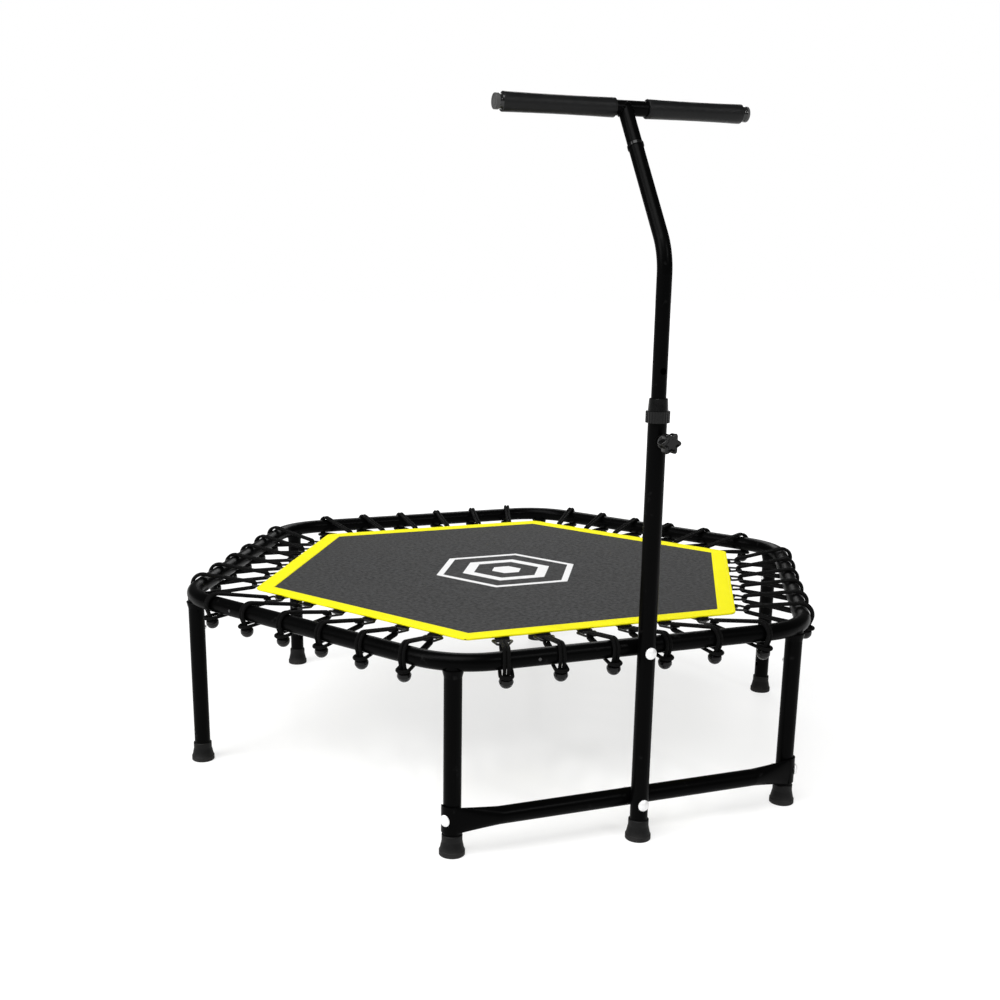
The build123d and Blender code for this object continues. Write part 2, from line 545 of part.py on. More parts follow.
def side_parts():
    """Cords, balls, rings and tabs of the side whose middle lies on +X."""
    cords, balls, rings, tabs = [], [], [], []
    for index in range(len(RIM_PLACES)):
        for sign in (-1, 1):
            at_ring, away = cord_place(index, sign)
            loop, line = cord(away)
            at_rim = at_ring * Pos(-line.ring[0], 0, RIM_Z)
            cords.append(at_rim * loop)
            balls.append(at_rim * cord_ball(line))
            rings.append(at_ring * metal_ring())
            tabs.append(at_ring * webbing_tab())
    return cords, balls, rings, tabs


# ---- build --------------------------------------------------------------------------------------
os.makedirs("parts", exist_ok=True)

back_reach = RIM_APOTHEM + CordLine(0).neck[0] + LOOP_R + CORD_R
front_reach = KNOB_FACE - POST_Y
SHIFT_Y = (front_reach - back_reach) / 2
print("SHIFT_Y", SHIFT_Y)

section = rim_section()
post_bolt_hole = rod(BOLT_HOLE_R, (0, -RIM_APOTHEM - 2 * TUBE_R, RIM_Z),
                     (0, -RIM_APOTHEM + 2 * TUBE_R, RIM_Z))
for name, angle in CORNERS.items():
    placed = turned(angle, section)
    save(f"rim_{name}", placed - post_bolt_hole if name == "front_right" else placed)
save("rim_screws", group(turned(angle, rim_screw()) for angle in SIDES.values()))

front_turn = LEG_BOLT_TURN - 30
for name, angle in CORNERS.items():
    bolt_angle = {"front_left": -front_turn, "front_right": front_turn}.get(name, 0)
    save(f"leg_{name}", turned(angle, leg(bolt_angle)))
    save(f"foot_{name}", turned(angle, Pos(LEG_AT, 0, 0) * foot()))
    save(f"lock_button_{name}", turned(angle, lock_button()))
save("foot_post", Pos(0, POST_Y, 0) * foot())

save("crossbar", crossbar())
save("frame_bolts", group(bolt(*place) for place in bolt_places()))
save("frame_nuts", group(nut(*place) for place in bolt_places()))

save("handle_post", handle_post())
save("guide_bush", guide_bush())
save("collar_ring", collar_ring())
save("knob", knob())
save("knob_screw", rod(KNOB_SCREW_R, ahead(UPPER_R + SCREW_TIP_GAP, KNOB_Z),
                       ahead(KNOB_FACE - 5, KNOB_Z)))
save("knob_washer", pipe(WASHER_R, WASHER_R - KNOB_SCREW_R - KNOB_CLEARANCE,
                         ahead(BOSS_REACH, KNOB_Z), ahead(BOSS_REACH + WASHER_THICK, KNOB_Z)))

save("handle_tube", handle_tube())
save("tube_bush", tube_bush())
save("handle_bar", handle_bar())
save("joint_ring", joint_ring())
for name, side in (("left", -1), ("right", 1)):
    save(f"grip_{name}", grip(side))
    save(f"end_plug_{name}", end_plug(side))

save("mat", mat())
save("mat_border", mat_border())
cords, balls, rings, tabs = side_parts()
for name, angle in SIDES.items():
    save(f"cords_{name}", group(turned(angle, loop) for loop in cords))
for name, shapes in (("cord_balls", balls), ("mat_rings", rings), ("webbing_tabs", tabs)):
    save(name, group(turned(angle, shape) for angle in SIDES.values() for shape in shapes))
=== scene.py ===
# %% [markdown]
# # A six-sided mini trampoline
#
# A fitness trampoline is a mat hung inside a tube rim by loops of elastic cord, with a T handle
# that slides in a post. The frame, its joints and its sizes come from the imported design. This
# notebook gives it its looks: cords, cloth, foam, moulded plastic, paint and light.
#
# It opens by loading the design as a fixed frame. Every piece added later is made at its place
# in metres, and most then ride on one of the frame's bodies; the cords ride on none.

import json
import random
from math import acos, atan2, ceil, cos, hypot, pi, radians, sin, sqrt, tan

import bmesh
import bpy
from mathutils import Matrix, Vector


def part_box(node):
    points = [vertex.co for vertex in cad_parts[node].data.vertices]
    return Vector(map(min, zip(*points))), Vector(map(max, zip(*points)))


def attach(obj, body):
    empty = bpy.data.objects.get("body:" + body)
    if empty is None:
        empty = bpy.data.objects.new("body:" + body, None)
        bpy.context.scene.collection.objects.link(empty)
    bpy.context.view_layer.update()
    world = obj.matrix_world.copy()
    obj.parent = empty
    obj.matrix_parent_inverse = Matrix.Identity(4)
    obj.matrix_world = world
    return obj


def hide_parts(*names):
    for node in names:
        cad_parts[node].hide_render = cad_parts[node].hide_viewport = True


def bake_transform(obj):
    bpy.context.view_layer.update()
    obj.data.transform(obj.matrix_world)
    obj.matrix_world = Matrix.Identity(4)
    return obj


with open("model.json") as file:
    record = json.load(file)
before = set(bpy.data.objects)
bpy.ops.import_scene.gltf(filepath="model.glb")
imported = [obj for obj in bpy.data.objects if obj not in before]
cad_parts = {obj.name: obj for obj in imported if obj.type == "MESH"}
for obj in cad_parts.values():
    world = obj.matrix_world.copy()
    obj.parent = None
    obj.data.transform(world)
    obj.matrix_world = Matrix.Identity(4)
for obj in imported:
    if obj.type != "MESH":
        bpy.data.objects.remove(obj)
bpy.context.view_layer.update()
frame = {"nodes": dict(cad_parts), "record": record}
MM = 0.001
bpy.ops.object.select_all(action="DESELECT")

# %% [markdown]
# Everything hangs on a few places, so they are read off the frame's own boxes: the middle of
# the hexagon, the rim's tube and how far out it lies, the handle's post, and the T-bar.

# %% Places read off the frame
rim_front, rim_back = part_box("rim_front_left")[0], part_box("rim_back_right")[1]
leg_low, leg_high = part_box("leg_right")
post_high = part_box("handle_post")[1]
bar_low, bar_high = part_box("handle_bar")
border_low, border_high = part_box("mat_border")
mat_low, mat_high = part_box("mat")

TUBE_R = (leg_high.y - leg_low.y) / 2
CENTRE = Vector((0, (rim_front.y + rim_back.y) / 2, 0))
RIM_APOTHEM = (rim_back.y - rim_front.y) / 2 - TUBE_R
RIM_Z = rim_back.z - TUBE_R
POST_Y = post_high.y - TUBE_R
BORDER_EDGE = (border_high.y - border_low.y) / 2
MAT_EDGE = (mat_high.y - mat_low.y) / 2
SIDES = {"front": 270, "front_right": 330, "back_right": 30, "back": 90, "back_left": 150,
         "front_left": 210}
print("the rim is", round(2 * RIM_APOTHEM, 3), "m across its sides, on", round(2 * TUBE_R, 3), "m tube")


def about_centre(angle):
    """The matrix that turns a piece about the hexagon's middle, by degrees."""
    return Matrix.Translation(CENTRE) @ Matrix.Rotation(radians(angle), 4, "Z")


# %% [markdown]
# The camera comes next, because all that follows is judged through it. It stands at the height
# of a person's chest, in front of the left-hand side, and looks down at about fifteen degrees.
# A small lens shift keeps the uprights nearly parallel.

# %% The camera
CAMERA_AT = Vector((-0.9082, -2.1521, 0.8705))
CAMERA_YAW, CAMERA_PITCH, CAMERA_ROLL = 20.1, 14.82, 0.36

bpy.ops.object.camera_add()
camera = bpy.context.object
camera.matrix_world = (Matrix.Translation(CAMERA_AT) @ Matrix.Rotation(radians(-CAMERA_YAW), 4, "Z")
                       @ Matrix.Rotation(radians(90 - CAMERA_PITCH), 4, "X")
                       @ Matrix.Rotation(radians(CAMERA_ROLL), 4, "Z"))
camera.data.lens, camera.data.sensor_width = 45.1, 36
camera.data.shift_x, camera.data.shift_y = 0.048, 0.1016
bpy.context.scene.camera = camera
bpy.context.scene.view_settings.view_transform = "Standard"
print("the camera looks down by", CAMERA_PITCH, "degrees")

# %% [markdown]
# Some moves come back for every piece: keep only one object selected, pick faces, edges or
# corners by where they are, apply a modifier, and put copies of a finished shape in their
# places. They are written once here, as a modeller's habits.


# %% Modelling habits
def alone(piece):
    """Makes a piece the only one selected, so that an operator acts on it and nothing else."""
    bpy.ops.object.select_all(action="DESELECT")
    piece.select_set(True)
    bpy.context.view_layer.objects.active = piece


def begin(name):
    """Names the primitive that was just added, puts its place in its mesh and opens it."""
    piece = bpy.context.object
    piece.name = piece.data.name = name
    alone(piece)
    bpy.ops.object.transform_apply(location=True, rotation=True, scale=True)
    bpy.ops.object.mode_set(mode="EDIT")
    return piece


def pick(kind, test):
    """Selects the verts, edges or faces that pass a test on their middle and direction."""
    bpy.ops.mesh.select_mode(type={"verts": "VERT", "edges": "EDGE", "faces": "FACE"}[kind])
    bpy.ops.mesh.select_all(action="DESELECT")
    shape = bmesh.from_edit_mesh(bpy.context.edit_object.data)
    for item in getattr(shape, kind):
        corners = [item] if kind == "verts" else item.verts
        middle = sum((corner.co for corner in corners), Vector()) / len(corners)
        along = corners[1].co - corners[0].co if kind == "edges" else item.normal
        item.select_set(bool(test(middle, along.normalized())))
    bmesh.update_edit_mesh(bpy.context.edit_object.data)


def push(x=0, y=0, z=0):
    """Extrudes the picked part by this much."""
    bpy.ops.mesh.extrude_region_move(TRANSFORM_OT_translate={"value": (x, y, z)})


def close(piece, smooth=35):
    """Leaves edit mode and smooths the piece's gentle edges."""
    bpy.ops.object.mode_set(mode="OBJECT")
    alone(piece)
    bpy.ops.object.shade_smooth_by_angle(angle=radians(smooth))
    return piece


def modify(piece, kind, **settings):
    """Adds a modifier and applies it."""
    alone(piece)
    modifier = piece.modifiers.new(kind.title(), kind)
    for name, value in settings.items():
        setattr(modifier, name, value)
    bpy.ops.object.modifier_apply(modifier=modifier.name)


def set_down(model, name, places):
    """Copies a finished model to each place, joins the copies into one piece and drops the model."""
    copies = []
    for place in places:
        copy = bpy.data.objects.new(name, model.data.copy())
        bpy.context.scene.collection.objects.link(copy)
        copy.data.transform(place)
        copies.append(copy)
    bpy.data.objects.remove(model)
    alone(copies[0])
    for copy in copies:
        copy.select_set(True)
    bpy.ops.object.join()
    joined = bpy.context.object
    joined.name = joined.data.name = name
    return joined


def wear(piece, body, slot, *finishes):
    """Paints a piece and lets it ride on its body."""
    piece.data.materials.clear()
    for finish in finishes:
        piece.data.materials.append(finish)
    if body:
        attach(piece, body)
    print(piece.name, "has", len(piece.data.polygons), "faces")


# %% [markdown]
# A material is a formula over the surface. Wiring it by hand hides the formula, so one small
# class wraps a socket and lets it take part in sums, and another holds the material and makes
# its nodes. `1 - weave * 0.5` then adds the Math nodes that it needs.


# %% Shader maths
class Field:
    """A number that changes over a surface: a node's output that can be used in sums."""

    def __init__(self, finish, socket):
        self.finish, self.socket = finish, socket

    def maths(self, operation, *values):
        return self.finish.node("Math", {"operation": operation}, dict(enumerate(values)))

    def __add__(self, other):
        return self.maths("ADD", self, other)

    def __sub__(self, other):
        return self.maths("SUBTRACT", self, other)

    def __rsub__(self, other):
        return self.maths("SUBTRACT", other, self)

    def __mul__(self, other):
        return self.maths("MULTIPLY", self, other)

    def __truediv__(self, other):
        return self.maths("DIVIDE", self, other)

    def __lt__(self, other):
        return self.maths("LESS_THAN", self, other)

    def __gt__(self, other):
        return self.maths("GREATER_THAN", self, other)

    def __abs__(self):
        return self.maths("ABSOLUTE", self)

    __radd__, __rmul__ = __add__, __mul__

    def sine(self):
        return self.maths("SINE", self)

    def larger(self, other):
        return self.maths("MAXIMUM", self, other)

    def clamped(self):
        return self.maths("MINIMUM", self.maths("MAXIMUM", self, 0.0), 1.0)


class Finish:
    """A material made of nodes, on the Principled shader."""

    def __init__(self, name, **constants):
        self.material = bpy.data.materials.new(name)
        self.material.use_nodes = True
        self.tree = self.material.node_tree
        self.shader = self.tree.nodes["Principled BSDF"]
        for place, value in constants.items():
            self.shader.inputs[place.replace("_", " ")].default_value = value

    def node(self, kind, settings=None, inputs=None, output=0):
        made = self.tree.nodes.new("ShaderNode" + kind)
        for name, value in (settings or {}).items():
            setattr(made, name, value)
        for place, value in (inputs or {}).items():
            self.feed(made.inputs[place], value)
        return Field(self, made.outputs[output])

    def feed(self, socket, value):
        if isinstance(value, Field):
            self.tree.links.new(value.socket, socket)
        else:
            socket.default_value = value

    def place(self, output="Object"):
        return self.node("TexCoord", output=output)

    def axes(self, place):
        """The three numbers of a place."""
        split = self.node("SeparateXYZ", inputs={"Vector": place})
        return [Field(self, socket) for socket in split.socket.node.outputs]

    def noise(self, place, scale, detail=2.0):
        return self.node("TexNoise", inputs={"Vector": place, "Scale": scale, "Detail": detail})

    def mix(self, share, first, second):
        """A colour between two others."""
        return self.node("Mix", {"data_type": "RGBA"}, {0: share, 6: first, 7: second}, output=2)

    def bump(self, height, distance, strength=1.0):
        """Relief: height 1 stands out by the distance, in metres."""
        made = self.node("Bump", inputs={"Height": height, "Distance": distance, "Strength": strength})
        self.feed(self.shader.inputs["Normal"], made)

    def paint(self, colour, roughness):
        self.feed(self.shader.inputs["Base Color"], colour)
        self.feed(self.shader.inputs["Roughness"], roughness)
        return self.material


def grey(value, warmth=0.0):
    """A colour of one brightness, a little warm or cold."""
    return (value * (1 + warmth), value, value * (1 - warmth), 1)


# %% [markdown]
# ## Elastic cords
#
# Each loop is one length of 5.8 mm braided elastic. Both of its ends are in a plastic ball. From
# the ball the two strands go up and over the rim side by side, round a metal ring on the mat,
# and back under the rim, where the loop's bight is hooked round the strands above the ball.
#
# A cord under tension is straight runs and true arcs, so a Bezier spline fits it exactly: a
# point at each end of each arc, with handles along the tangent.

# %% Sizes of the cord loops
CORD_R = 2.9 * MM
CORD_GAP = 0.3 * MM
STRAND_HALF = 3.1 * MM
RING_WIRE_R = 2.0 * MM
RING_TIP = BORDER_EDGE + 23.5 * MM
RING_Z = border_low.z - 3.8 * MM
BALL_R = 11.0 * MM
RIM_PLACES = (44 * MM, 132 * MM, 220 * MM)
MAT_PLACES = (38 * MM, 115 * MM, 190 * MM)
HANG_ANGLE = radians(20)
NECK_STRAIGHT = 12 * MM
STRAND_IN_BALL = 8 * MM
LOOP_R = STRAND_HALF + 2 * CORD_R + CORD_GAP
U_TO_Z = Vector((0, -1, 0))


# %% The route of one loop
class Route:
    """A cord's middle line: knots, each with the handles before and after it."""

    def __init__(self, start):
        self.knots = [[start, start, start]]

    def run(self, end):
        """A straight run."""
        knot = self.knots[-1]
        third = (end - knot[1]) / 3
        knot[2] = knot[1] + third
        self.knots.append([end - third, end, end])

    def glide(self, end, direction):
        """A gentle S to the end, leaving and arriving in one direction."""
        knot = self.knots[-1]
        reach = direction * (end - knot[1]).length * 0.45
        knot[2] = knot[1] + reach
        self.knots.append([end - reach, end, end])

    def turn(self, centre, axis, angle):
        """An arc about a centre."""
        steps = ceil(abs(angle) / (pi / 2))
        spin = Matrix.Rotation(angle / steps, 3, axis)
        share = 4 / 3 * tan(angle / steps / 4)
        for _ in range(steps):
            arm = self.knots[-1][1] - centre
            self.knots[-1][2] = self.knots[-1][1] + axis.cross(arm) * share
            arm = spin @ arm
            self.knots.append([centre + arm - axis.cross(arm) * share, centre + arm, centre + arm])

    def retrace(self, knots):
        """Goes back along earlier knots, on the other side of the plane y = 0."""
        flip = Matrix.Diagonal((1, -1, 1))
        first, *rest = [[flip @ after, flip @ at, flip @ before] for before, at, after in reversed(knots)]
        self.knots[-1][2] = first[2]
        self.knots.extend(rest)


class CordLoop:
    """One loop in its own plane: x runs outwards from the rim's middle, z up, y along the rim."""

    def __init__(self, side_angle, index, sign):
        ring_s, rim_s = sign * MAT_PLACES[index], sign * RIM_PLACES[index]
        away = atan2(rim_s - ring_s, RIM_APOTHEM - RING_TIP)
        self.wrap_r = ((TUBE_R + CORD_GAP + CORD_R) / cos(away)
                       + (STRAND_HALF + CORD_R) * tan(abs(away)) / 2)
        self.turn_r = RING_WIRE_R + CORD_GAP + CORD_R
        self.ring = Vector((-(RIM_APOTHEM - RING_TIP) / cos(away), 0, RING_Z - RIM_Z))
        heading = atan2(self.ring.z, self.ring.x)
        spread = acos((self.wrap_r - self.turn_r) / self.ring.length)
        self.up, self.low = self.compass(heading - spread), self.compass(heading + spread)
        self.under = Vector((-self.low.z, 0, self.low.x))
        self.down = Vector((-sin(HANG_ANGLE), 0, -cos(HANG_ANGLE)))
        self.off_rim = self.compass(-HANG_ANGLE) * self.wrap_r
        below = self.low * self.wrap_r
        gap = self.off_rim - below
        cross = self.under.x * self.down.z - self.under.z * self.down.x
        self.neck = below + self.under * (gap.x * self.down.z - gap.z * self.down.x) / cross
        tilt = pi / 2 - acos(abs(self.down.dot(self.under)))
        reach = sqrt((BALL_R + CORD_R + CORD_GAP) ** 2 - (LOOP_R * cos(tilt)) ** 2)
        self.ball = self.neck + self.down * (reach + LOOP_R * sin(tilt))
        self.at_mat = about_centre(side_angle) @ Matrix.Translation((RING_TIP, ring_s, 0))
        self.at_mat = self.at_mat @ Matrix.Rotation(away, 4, "Z")
        self.place = self.at_mat @ Matrix.Translation((-self.ring.x, 0, RIM_Z))

    def compass(self, angle):
        return Vector((cos(angle), 0, sin(angle)))

    def route(self):
        """From inside the ball, round the ring, and on to the bight; then the same on the way back."""
        aside = Vector((0, STRAND_HALF, 0))
        route = Route(self.ball + self.down * (STRAND_IN_BALL - BALL_R) + aside)
        route.run(self.off_rim + aside)
        up_angle = atan2(self.up.z, self.up.x) % (2 * pi)
        low_angle = atan2(self.low.z, self.low.x) % (2 * pi)
        route.turn(aside, U_TO_Z, up_angle + HANG_ANGLE)
        route.run(self.ring + self.up * self.turn_r + aside)
        route.turn(self.ring + aside, U_TO_Z, low_angle - up_angle)
        last = self.ring + self.low * self.turn_r
        length = (self.neck - last).length
        wide = Vector((0, LOOP_R, 0))
        route.run(last + self.under * length * 0.3 + aside)
        route.glide(last + self.under * (length - NECK_STRAIGHT) + wide, self.under)
        route.run(self.neck + wide)
        strand = [list(knot) for knot in route.knots]
        route.turn(self.neck, Vector((0, 1, 0)).cross(self.under), pi)
        route.retrace(strand)
        return route.knots


LOOPS = {side: [CordLoop(angle, index, sign) for index in range(len(RIM_PLACES)) for sign in (-1, 1)]
         for side, angle in SIDES.items()}

# %% [markdown]
# All six loops of a side are splines of one curve. Giving the curve a round bevel makes the
# cord, and turning it into a mesh keeps a UV map that runs round and along each cord, which the
# braid will follow. The map is then stretched to real lengths.


# %% The cords of one side
def cords(side):
    curve = bpy.data.curves.new(f"elastic_cords_{side}", "CURVE")
    curve.dimensions = "3D"
    curve.bevel_depth, curve.bevel_resolution = CORD_R, 4
    curve.resolution_u, curve.use_fill_caps = 7, True
    for loop in LOOPS[side]:
        spline = curve.splines.new("BEZIER")
        knots = loop.route()
        spline.bezier_points.add(len(knots) - 1)
        for point, (before, at, after) in zip(spline.bezier_points, knots):
            point.co, point.handle_left, point.handle_right = (loop.place @ place
                                                               for place in (at, before, after))
            point.handle_left_type = point.handle_right_type = "FREE"
    length = curve.splines[0].calc_length()
    piece = bpy.data.objects.new(curve.name, curve)
    bpy.context.scene.collection.objects.link(piece)
    alone(piece)
    bpy.ops.object.convert(target="MESH")
    piece = bpy.context.object
    return piece, length


cord_pieces = {}
for side in SIDES:
    cord_pieces[side], cord_length = cords(side)
print("each loop is", round(cord_length, 3), "m of cord")

# %% [markdown]
# The cover of such a cord is braided polyester over rubber. Two families of yarns cross it
# slantwise, so the height is the product of two sine waves on the cord's own map. The cord is
# long and thin, which is why the map's length is measured in turns round the cord.

# %% Braided cord
BRAID_YARNS = 8


def braided_cord():
    finish = Finish("braided_cord", Specular_IOR_Level=0.08)
    along, around, _ = finish.axes(finish.place("UV"))
    length = along * (cord_length / (2 * pi * CORD_R) * BRAID_YARNS * 0.8 * pi)
    turn = around * (BRAID_YARNS * pi)
    yarns = abs((length + turn).sine() * (length - turn).sine())
    wear_marks = finish.noise(finish.place(), 60, 3)
    finish.bump(yarns, 0.5 * MM)
    shade = finish.mix(yarns * wear_marks, grey(0.0015), grey(0.007))
    return finish.paint(shade, 0.72 + yarns * 0.15)


BRAIDED_CORD = braided_cord()


# %% [markdown]
# The cords turn round the mat's rings and lie on the rim. Here they take the place of the frame's
# own cords and ride on no body, so they do not stretch when the mat is pushed down.

# %% Cords in place of the frame's own cords
for side, angle in SIDES.items():
    outward = Matrix.Rotation(radians(angle), 3, "Z") @ Vector((1, 0, 0))
    wear(cord_pieces[side], None, "elastic_cord", BRAIDED_CORD)
    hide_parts(f"cords_{side}")
    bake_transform(cord_pieces[side])

# %% [markdown]
# ## Balls
#
# The knots of each loop are hidden in a moulded ball. It is a sphere with its top cut flat and
# hollowed where the strands go in, so that the bight beds in it, and with the thin line that the
# two halves of a mould leave.
# One is modelled at the middle of the world, its strands going up, and copied to all 36 loops.

# %% The mould line and the hollow
FLAT_AT = 6.0 * MM
PRESSED_UP = 3 * MM

bpy.ops.mesh.primitive_uv_sphere_add(segments=24, ring_count=16, radius=BALL_R)
ball = begin("cord_ball")
bpy.ops.mesh.select_all(action="SELECT")
bpy.ops.mesh.bisect(plane_co=(0, 0, FLAT_AT), plane_no=(0, 0, 1), use_fill=True, clear_outer=True)
pick("faces", lambda at, way: way.z > 0.99 and at.z > FLAT_AT - 0.1 * MM)
bpy.ops.mesh.inset(thickness=0.7 * MM)
push(z=-2.4 * MM)
pick("edges", lambda at, way: abs(at.z) < 0.05 * MM and abs(way.z) < 0.1)
bpy.ops.mesh.bevel(offset=0.45 * MM, segments=2)
pick("verts", lambda at, way: abs(at.z) < 0.05 * MM)
bpy.ops.transform.resize(value=(1.025, 1.025, 1))
close(ball)


def at_ball(loop):
    """The ball's place at the end of its strands, its top facing up along them."""
    facing = Vector((0, 0, 1)).rotation_difference(-loop.down).to_matrix().to_4x4()
    return loop.place @ Matrix.Translation(loop.ball - loop.down * PRESSED_UP) @ facing


balls = set_down(ball, "cord_balls_moulded", [at_ball(loop) for side in SIDES for loop in LOOPS[side]])


# %% Moulded plastic, from satin to gloss
def moulded_plastic(name, dark, light, roughness, grain, coat=0.0, specular=0.2):
    """Black plastic: faint clouds in the gloss, and a fine grain from the mould."""
    finish = Finish(name, Coat_Weight=coat, Coat_Roughness=0.12, Specular_IOR_Level=specular)
    place = finish.place()
    clouds, pores = finish.noise(place, 90, 3), finish.noise(place, 1800, 2)
    finish.bump(pores + clouds, grain)
    return finish.paint(finish.mix(clouds, grey(dark), grey(light)), roughness + clouds * 0.14)


BALL_PLASTIC = moulded_plastic("ball_plastic", 0.002, 0.005, 0.14, 0.03 * MM)
wear(balls, "frame", "black_ball_plastic", BALL_PLASTIC)
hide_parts("cord_balls")

# %% [markdown]
# ## Mat
#
# The mat is a hexagon of black polypropylene mesh, pulled tight by 36 loops. It still dips a
# little in the middle under its own weight. It is modelled as a hexagon divided into small
# triangles, with the corners lowered by how far in they lie, and given a thickness at the end.

# %% The mesh of the mat
MAT_DIP = 1.6 * MM
MAT_CLOTH = 1.2 * MM
MAT_TOP = border_high.z - 1.0 * MM
CORNER_SHARE = 1 / cos(radians(30))

bpy.ops.mesh.primitive_circle_add(vertices=6, radius=MAT_EDGE * CORNER_SHARE, fill_type="NGON",
                                  location=CENTRE + Vector((0, 0, MAT_TOP)))
mat = begin("jumping_mat")
bpy.ops.mesh.select_all(action="SELECT")
bpy.ops.transform.rotate(value=radians(30), orient_axis="Z", center_override=CENTRE)
bpy.ops.mesh.poke()
bpy.ops.mesh.subdivide(number_cuts=23)
close(mat)
for corner in mat.data.vertices:
    inward = 1 - min(1, (corner.co - CENTRE).to_2d().length / MAT_EDGE)
    corner.co.z -= MAT_DIP * inward * (2 - inward)
modify(mat, "SOLIDIFY", thickness=MAT_CLOTH, offset=-1)
print("the mat is cut from", round(2 * MAT_EDGE, 3), "by", round(2 * MAT_EDGE * CORNER_SHARE, 3), "m")


# %% [markdown]
# The mesh is woven from flat tapes, two millimetres wide, over and under. From a distance it
# reads as charcoal with a slight mottle. The mark in the middle is printed: three hexagons, one
# inside the other, in white ink that lies on top of the tapes and misses the gaps.

# %% Woven mesh with a printed mark
TAPE = 2.2 * MM
MARK_RINGS = ((0.000, 0.026), (0.058, 0.078), (0.112, 0.124))


def woven(finish, x, y, pitch):
    """Height of a plain weave: tapes along x and along y that pass over each other in turn."""
    across, along = x * (pi / pitch), y * (pi / pitch)
    over = (across.sine() * along.sine()) > 0.0
    warp, weft = abs(across.sine()), abs(along.sine())
    return over * warp + (1 - over) * weft


def hexagon_distance(x, y):
    """How far out a point lies, on hexagons that have two sides parallel to x."""
    return abs(y).larger(abs(x) * cos(radians(30)) + abs(y) * 0.5)


def printed_mesh():
    finish = Finish("printed_mesh", Specular_IOR_Level=0.12)
    place = finish.place()
    x, y, _ = finish.axes(place)
    tapes = woven(finish, x, y, TAPE)
    far_out = hexagon_distance(x, y - CENTRE.y)
    mark = sum((far_out > inner) * (far_out < outer) for inner, outer in MARK_RINGS[1:])
    mark = mark + (far_out < MARK_RINGS[0][1])
    mottle = finish.noise(place, 150, 4)
    clouds = finish.noise(place, 7, 2)
    dust = finish.noise(place, 900, 1)
    black = finish.mix((mottle * 3.6 - 1.3).clamped(), grey(0.024), grey(0.064, -0.02))
    black = finish.mix(clouds * 0.5, black, grey(0.044, 0.02))
    ink = mark * (0.90 + tapes * 0.1) * (1.15 - dust * 0.3).clamped()
    finish.bump(tapes + mark * 0.3, 0.35 * MM)
    return finish.paint(finish.mix(ink.clamped(), black, grey(0.88)), 0.62 + tapes * 0.2 - mark * 0.1)


wear(mat, "mat", "mat_mesh", printed_mesh())
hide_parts("mat")

# %% [markdown]
# ## Binding
#
# The mat's edge is folded into a band of lemon-yellow woven binding and sewn through with two
# rows of stitches. The band is a hexagonal ring. Its outer corners are rounded and its edges are
# soft, and from below it is undercut, so that it looks as thin as cloth from the side.

# %% The folded band
BAND_WIDTH = 30 * MM
BAND_EDGE = 1.3 * MM
BAND_CORNER = 10 * MM
BAND_UNDERCUT = 2.6 * MM
PAST_INNER_CORNER = 1.1

bpy.ops.mesh.primitive_circle_add(vertices=6, radius=BORDER_EDGE * CORNER_SHARE, fill_type="NGON",
                                  location=CENTRE + Vector((0, 0, border_low.z)))
band = begin("mat_binding")
bpy.ops.mesh.select_all(action="SELECT")
bpy.ops.transform.rotate(value=radians(30), orient_axis="Z", center_override=CENTRE)
bpy.ops.mesh.inset(thickness=BAND_WIDTH)
bpy.ops.mesh.delete(type="FACE")
bpy.ops.mesh.select_all(action="SELECT")
push(z=border_high.z - border_low.z)
bpy.ops.mesh.select_all(action="SELECT")
bpy.ops.mesh.normals_make_consistent(inside=False)


def outer_reach(at):
    """How far a place is from the hexagon's middle, on the flat."""
    return (at - CENTRE).to_2d().length


def round_the_ring(at, way):
    """True for an edge that runs round the band's rim, and not across a mitre."""
    return abs(way.z) < 0.1 and abs((at - CENTRE).to_2d().normalized().dot(way.to_2d())) < 0.7


pick("edges", lambda at, way: abs(way.z) > 0.9 and outer_reach(at) > BORDER_EDGE * PAST_INNER_CORNER)
bpy.ops.mesh.bevel(offset=BAND_CORNER, segments=6, affect="EDGES")
pick("edges", lambda at, way: round_the_ring(at, way) and at.z > border_high.z - 0.1 * MM)
bpy.ops.mesh.bevel(offset=BAND_EDGE, segments=4, affect="EDGES")
pick("edges", lambda at, way: round_the_ring(at, way) and at.z < border_low.z + 0.1 * MM
     and outer_reach(at) > BORDER_EDGE - 1 * MM)
bpy.ops.mesh.bevel(offset=BAND_UNDERCUT, segments=3, affect="EDGES")
close(band)


# %% [markdown]
# Binding is a narrow-loom fabric: fine ribs across the band. The mesh is one ring, so the
# material works out which of the six sides a point is on, and turns its pattern to suit.

# %% Lemon-yellow binding
RIB = 1.3 * MM


def woven_binding():
    finish = Finish("lemon_binding", Specular_IOR_Level=0.1)
    place = finish.place()
    x, y, _ = finish.axes(place)
    y = y - CENTRE.y
    ribs = 0
    far_out = hexagon_distance(x, y)
    for turn in (90, 30, 150):
        outward = x * cos(radians(turn)) + y * sin(radians(turn))
        sideways = y * cos(radians(turn)) - x * sin(radians(turn))
        here = abs(outward) > far_out - 0.01 * MM
        ribs = ribs + here * abs((sideways * (pi / RIB)).sine())
    ribs = ribs.clamped()
    rows = abs((far_out * (pi / (0.9 * MM))).sine())
    soil, puckers = finish.noise(place, 25, 3), finish.noise(place, 240, 2)
    finish.bump(ribs * 0.4 + rows * 0.2 + puckers * 0.8, 0.5 * MM)
    yellow = finish.mix(soil * 0.5, (0.93, 0.88, 0.006, 1), (0.84, 0.76, 0.008, 1))
    return finish.paint(finish.mix(ribs * 0.15, yellow, (0.60, 0.48, 0.010, 1)), 0.70 + ribs * 0.15)


YELLOW_BINDING = woven_binding()
wear(band, "mat", "yellow_binding", YELLOW_BINDING)
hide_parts("mat_border")

